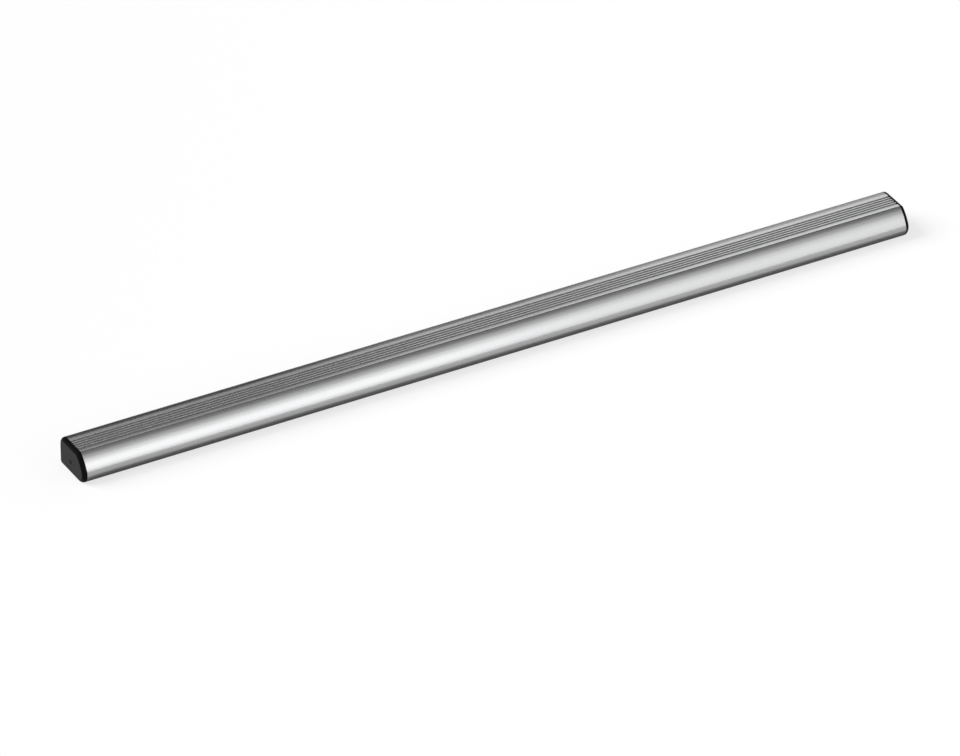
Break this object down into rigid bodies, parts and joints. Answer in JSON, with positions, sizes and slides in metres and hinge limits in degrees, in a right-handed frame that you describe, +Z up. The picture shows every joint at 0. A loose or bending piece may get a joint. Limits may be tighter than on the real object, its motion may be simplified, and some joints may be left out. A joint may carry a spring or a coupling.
{
  "type": "roof rack crossbar",
  "caption": "Aluminium roof rack crossbar: hollow extrusion with ribbed load face, curved nose, underside T-slot for feet and flush black end caps.",
  "frame": {"origin": "centre of the bar's underside, on the surface it rests on", "axes": "+X along the bar, -Y towards the curved front face, +Z up through the ribbed load face"},
  "size_m": [1.2, 0.066, 0.0415],
  "materials": {
    "anodised_aluminium": "clear satin anodised, with fine die lines along the bar",
    "black_cap_plastic": "moulded black, fine grain on the end face",
    "black_screw_steel": "black coated steel"
  },
  "bodies": {
    "root": {"crossbar_extrusion": "anodised_aluminium", "left_end_cap": "black_cap_plastic", "right_end_cap": "black_cap_plastic", "left_cap_screw": "black_screw_steel", "right_cap_screw": "black_screw_steel"}
  },
  "joints": []
}
